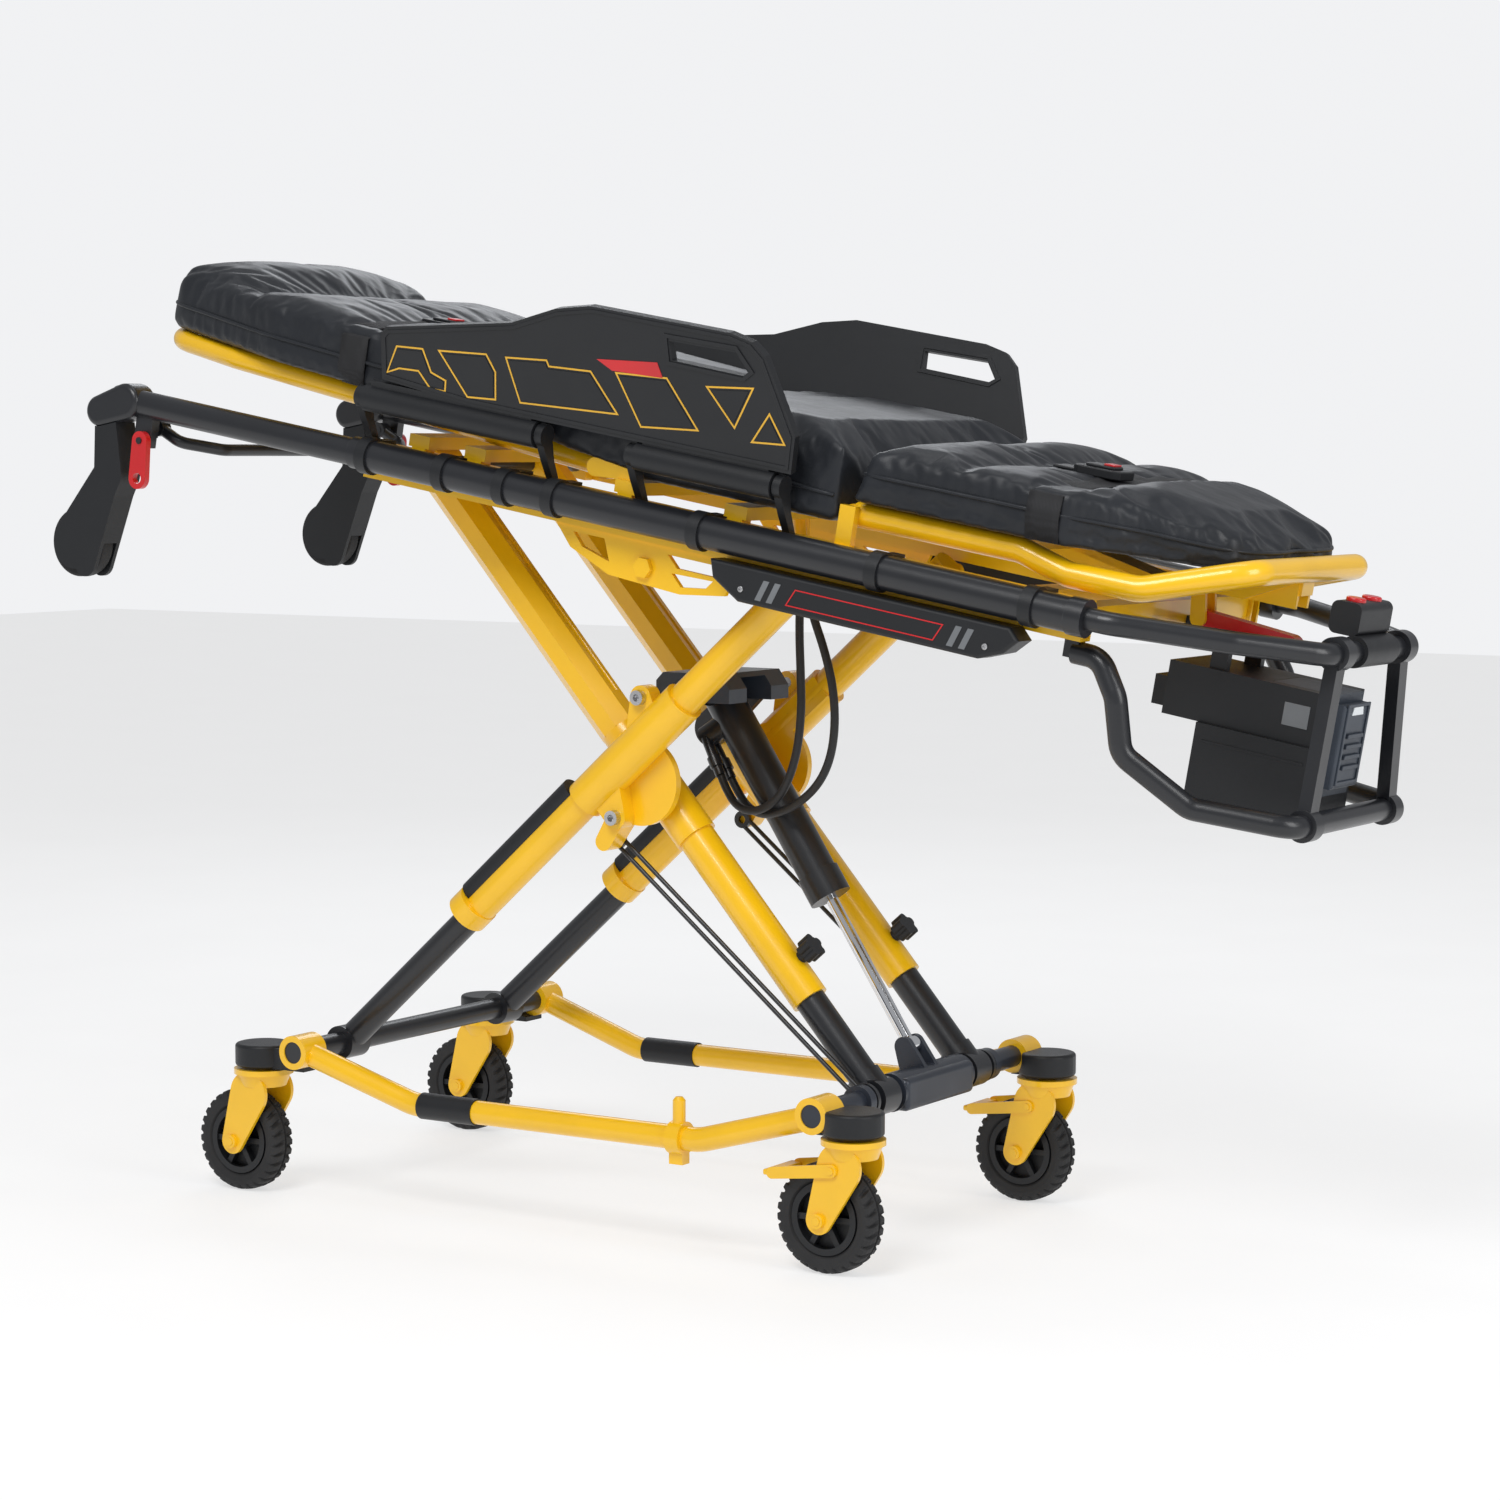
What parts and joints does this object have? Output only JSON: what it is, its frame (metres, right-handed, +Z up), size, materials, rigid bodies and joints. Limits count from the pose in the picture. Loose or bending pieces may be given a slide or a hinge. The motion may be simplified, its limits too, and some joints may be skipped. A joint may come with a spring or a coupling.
{
  "type": "stretcher trolley",
  "caption": "Powered ambulance stretcher trolley: a padded folding litter with siderails on a telescoping X frame over a base with swivel casters.",
  "frame": {"origin": "on the floor under the middle of the length, on the centre plane", "axes": "+X to the foot end, +Y to the patient's left, +Z up"},
  "size_m": [2.0285, 0.7146, 1.3761],
  "materials": {
    "yellow_paint": "gloss",
    "black_metal": "satin",
    "black_plastic": "satin moulded",
    "grey_plastic": "satin moulded",
    "cast_metal": "satin",
    "bright_steel": "machined",
    "chrome": "polished",
    "red_plastic": "gloss",
    "vinyl": "coated fabric over foam",
    "hose_rubber": "satin",
    "tyre_rubber": "matt moulded"
  },
  "bodies": {
    "base": {"base_side_tube_right": "yellow_paint", "base_side_tube_left": "yellow_paint", "head_cross_tube": "black_metal", "foot_cross_beam": "cast_metal", "base_corner_caps": "black_plastic", "fastener_post": "yellow_paint"},
    "leg_a_lower": {"leg_a_inner_tubes": "black_metal"},
    "leg_a_upper": {"leg_a_outer_tubes": "yellow_paint", "leg_a_knobs": "black_plastic", "leg_a_cross_beam": "black_metal", "valve_cover": "grey_plastic"},
    "leg_b_lower": {"leg_b_inner_tubes": "black_metal"},
    "leg_b_upper": {"leg_b_outer_tubes": "yellow_paint", "leg_b_guards": "black_plastic", "leg_b_clamps": "yellow_paint", "clamp_bolts": "bright_steel"},
    "timing_links": {"timing_links": "black_metal"},
    "cylinder": {"cylinder_barrel": "black_metal"},
    "ram": {"cylinder_rod": "chrome"},
    "litter": {"litter_side_rails": "yellow_paint", "outer_bars": "black_metal", "rail_fittings": "black_plastic", "litter_cross_frame": "yellow_paint", "side_covers": "black_plastic", "upper_lift_bar": "black_metal", "lower_lift_bar": "black_metal", "lift_bar_posts": "black_metal", "foot_end_housings": "black_plastic", "mattress_seat": "vinyl", "hose_inner": "hose_rubber", "hose_outer": "hose_rubber"},
    "battery": {"battery_pack": "grey_plastic"},
    "control_button": {"control_buttons": "red_plastic"},
    "head_section": {"head_section_tubes": "black_metal", "load_wheel_housings": "black_plastic"},
    "load_wheel_right": {"load_wheel_right": "tyre_rubber"},
    "load_wheel_left": {"load_wheel_left": "tyre_rubber"},
    "safety_bar": {"safety_bar": "black_metal"},
    "retract_levers": {"retract_levers": "red_plastic"},
    "backrest": {"backrest_frame": "yellow_paint", "mattress_back": "vinyl"},
    "leg_section": {"leg_section_frame": "yellow_paint", "mattress_leg": "vinyl"},
    "release_lever": {"release_lever": "red_plastic"},
    "siderail_right": {"siderail_right": "black_plastic"},
    "siderail_left": {"siderail_left": "black_plastic"},
    "caster_foot_right": {"caster_fork_foot_right": "yellow_paint"},
    "wheel_foot_right": {"wheel_hub_foot_right": "black_plastic", "tyre_foot_right": "tyre_rubber"},
    "brake_pedal_right": {"brake_pedal_right": "yellow_paint"},
    "caster_foot_left": {"caster_fork_foot_left": "yellow_paint"},
    "wheel_foot_left": {"wheel_hub_foot_left": "black_plastic", "tyre_foot_left": "tyre_rubber"},
    "brake_pedal_left": {"brake_pedal_left": "yellow_paint"},
    "caster_head_right": {"caster_fork_head_right": "yellow_paint"},
    "wheel_head_right": {"wheel_hub_head_right": "black_plastic", "tyre_head_right": "tyre_rubber"},
    "caster_head_left": {"caster_fork_head_left": "yellow_paint"},
    "wheel_head_left": {"wheel_hub_head_left": "black_plastic", "tyre_head_left": "tyre_rubber"}
  },
  "joints": [
    {"name": "lift", "type": "hinge", "parent": "base", "child": "leg_a_lower", "pos_m": [0.3363, 0, 0.215], "axis": [0, -1, 0], "range_deg": [0, 36.12], "deforming": ["hose_inner", "hose_outer"]},
    {"name": "leg_a_slide", "type": "slide", "parent": "leg_a_lower", "child": "leg_a_upper", "axis": [0.6578, 0, -0.7532], "range_m": [0, 0.12316]},
    {"name": "litter_pivot", "type": "hinge", "parent": "leg_a_upper", "child": "litter", "pos_m": [-0.41806, 0, 1.0788], "axis": [0, 1, 0], "range_deg": [0, 26.12]},
    {"name": "leg_b_swing", "type": "hinge", "parent": "base", "child": "leg_b_lower", "pos_m": [-0.5397, 0, 0.222], "axis": [0, 1, 0], "range_deg": [0, 28.92]},
    {"name": "leg_b_slide", "type": "slide", "parent": "leg_b_lower", "child": "leg_b_upper", "axis": [-0.7478, 0, -0.6639], "range_m": [0, 0.22085]},
    {"name": "timing_link_swing", "type": "hinge", "parent": "base", "child": "timing_links", "pos_m": [0.3363, 0, 0.215], "axis": [0, -1, 0], "range_deg": [0, 37.28]},
    {"name": "cylinder_swing", "type": "hinge", "parent": "leg_a_upper", "child": "cylinder", "pos_m": [-0.0067, 0, 0.755], "axis": [0, -1, 0], "range_deg": [0, 1.71]},
    {"name": "cylinder_stroke", "type": "slide", "parent": "cylinder", "child": "ram", "axis": [-0.5464, 0, 0.8375], "range_m": [0, 0.10645]},
    {"name": "swivel_foot_right", "type": "hinge", "parent": "base", "child": "caster_foot_right", "pos_m": [0.3853, -0.278, 0.186], "axis": [0, 0, 1], "continuous": true},
    {"name": "roll_foot_right", "type": "hinge", "parent": "caster_foot_right", "child": "wheel_foot_right", "pos_m": [0.3503, -0.278, 0.076], "axis": [0, 1, 0], "continuous": true},
    {"name": "brake_right", "type": "hinge", "parent": "caster_foot_right", "child": "brake_pedal_right", "pos_m": [0.3713, -0.278, 0.146], "axis": [0, -1, 0], "range_deg": [0, 8]},
    {"name": "swivel_foot_left", "type": "hinge", "parent": "base", "child": "caster_foot_left", "pos_m": [0.3853, 0.278, 0.186], "axis": [0, 0, 1], "continuous": true},
    {"name": "roll_foot_left", "type": "hinge", "parent": "caster_foot_left", "child": "wheel_foot_left", "pos_m": [0.3503, 0.278, 0.076], "axis": [0, 1, 0], "continuous": true},
    {"name": "brake_left", "type": "hinge", "parent": "caster_foot_left", "child": "brake_pedal_left", "pos_m": [0.3713, 0.278, 0.146], "axis": [0, -1, 0], "range_deg": [0, 8]},
    {"name": "swivel_head_right", "type": "hinge", "parent": "base", "child": "caster_head_right", "pos_m": [-0.6327, -0.278, 0.186], "axis": [0, 0, 1], "continuous": true},
    {"name": "roll_head_right", "type": "hinge", "parent": "caster_head_right", "child": "wheel_head_right", "pos_m": [-0.6677, -0.278, 0.076], "axis": [0, 1, 0], "continuous": true},
    {"name": "swivel_head_left", "type": "hinge", "parent": "base", "child": "caster_head_left", "pos_m": [-0.6327, 0.278, 0.186], "axis": [0, 0, 1], "continuous": true},
    {"name": "roll_head_left", "type": "hinge", "parent": "caster_head_left", "child": "wheel_head_left", "pos_m": [-0.6677, 0.278, 0.076], "axis": [0, 1, 0], "continuous": true},
    {"name": "battery_release", "type": "slide", "parent": "litter", "child": "battery", "axis": [0.9848, 0, -0.1736], "range_m": [0, 0.1]},
    {"name": "control_press", "type": "slide", "parent": "litter", "child": "control_button", "axis": [-0.1736, 0, -0.9848], "range_m": [0, 0.004], "stiffness_N_per_m": 400, "springref_m": -0.002},
    {"name": "head_retract", "type": "slide", "parent": "litter", "child": "head_section", "axis": [0.9848, 0, -0.1736], "range_m": [0, 0.28]},
    {"name": "load_wheel_roll_right", "type": "hinge", "parent": "head_section", "child": "load_wheel_right", "pos_m": [-0.9623, -0.295, 0.96052], "axis": [0, 1, 0], "continuous": true},
    {"name": "load_wheel_roll_left", "type": "hinge", "parent": "head_section", "child": "load_wheel_left", "pos_m": [-0.9623, 0.295, 0.96052], "axis": [0, 1, 0], "continuous": true},
    {"name": "safety_bar_swing", "type": "hinge", "parent": "head_section", "child": "safety_bar", "pos_m": [-0.83065, 0, 1.13126], "axis": [0, 1, 0], "range_deg": [0, 25]},
    {"name": "retract_squeeze", "type": "hinge", "parent": "head_section", "child": "retract_levers", "pos_m": [-0.83082, 0, 1.11301], "axis": [0, -1, 0], "range_deg": [0, 14], "stiffness_Nm_per_rad": 4, "springref_deg": -5.73},
    {"name": "backrest_raise", "type": "hinge", "parent": "litter", "child": "backrest", "pos_m": [-0.04299, 0, 1.07767], "axis": [0, 1, 0], "range_deg": [0, 68]},
    {"name": "leg_raise", "type": "hinge", "parent": "litter", "child": "leg_section", "pos_m": [0.36251, 0, 1.01632], "axis": [0, -1, 0], "range_deg": [0, 15]},
    {"name": "release_pull", "type": "hinge", "parent": "leg_section", "child": "release_lever", "pos_m": [0.75679, 0, 0.87978], "axis": [0, -1, 0], "range_deg": [0, 10], "stiffness_Nm_per_rad": 4, "springref_deg": -5.73},
    {"name": "siderail_fold_right", "type": "hinge", "parent": "litter", "child": "siderail_right", "pos_m": [-0.16546, -0.3, 1.13175], "axis": [0.9848, 0, -0.1736], "range_deg": [0, 78]},
    {"name": "siderail_fold_left", "type": "hinge", "parent": "litter", "child": "siderail_left", "pos_m": [-0.16546, 0.3, 1.13175], "axis": [-0.9848, 0, 0.1736], "range_deg": [0, 78]}
  ],
  "couplings": [
    {"joint": "leg_a_slide", "follows": "lift", "m_per_rad": 0.19539},
    {"joint": "litter_pivot", "follows": "lift", "ratio": 0.72311},
    {"joint": "leg_b_swing", "follows": "lift", "ratio": 0.80065},
    {"joint": "leg_b_slide", "follows": "lift", "m_per_rad": 0.35037},
    {"joint": "timing_link_swing", "follows": "lift", "ratio": 1.0324},
    {"joint": "cylinder_swing", "follows": "lift", "ratio": 0.047348},
    {"joint": "cylinder_stroke", "follows": "lift", "m_per_rad": 0.16888}
  ]
}
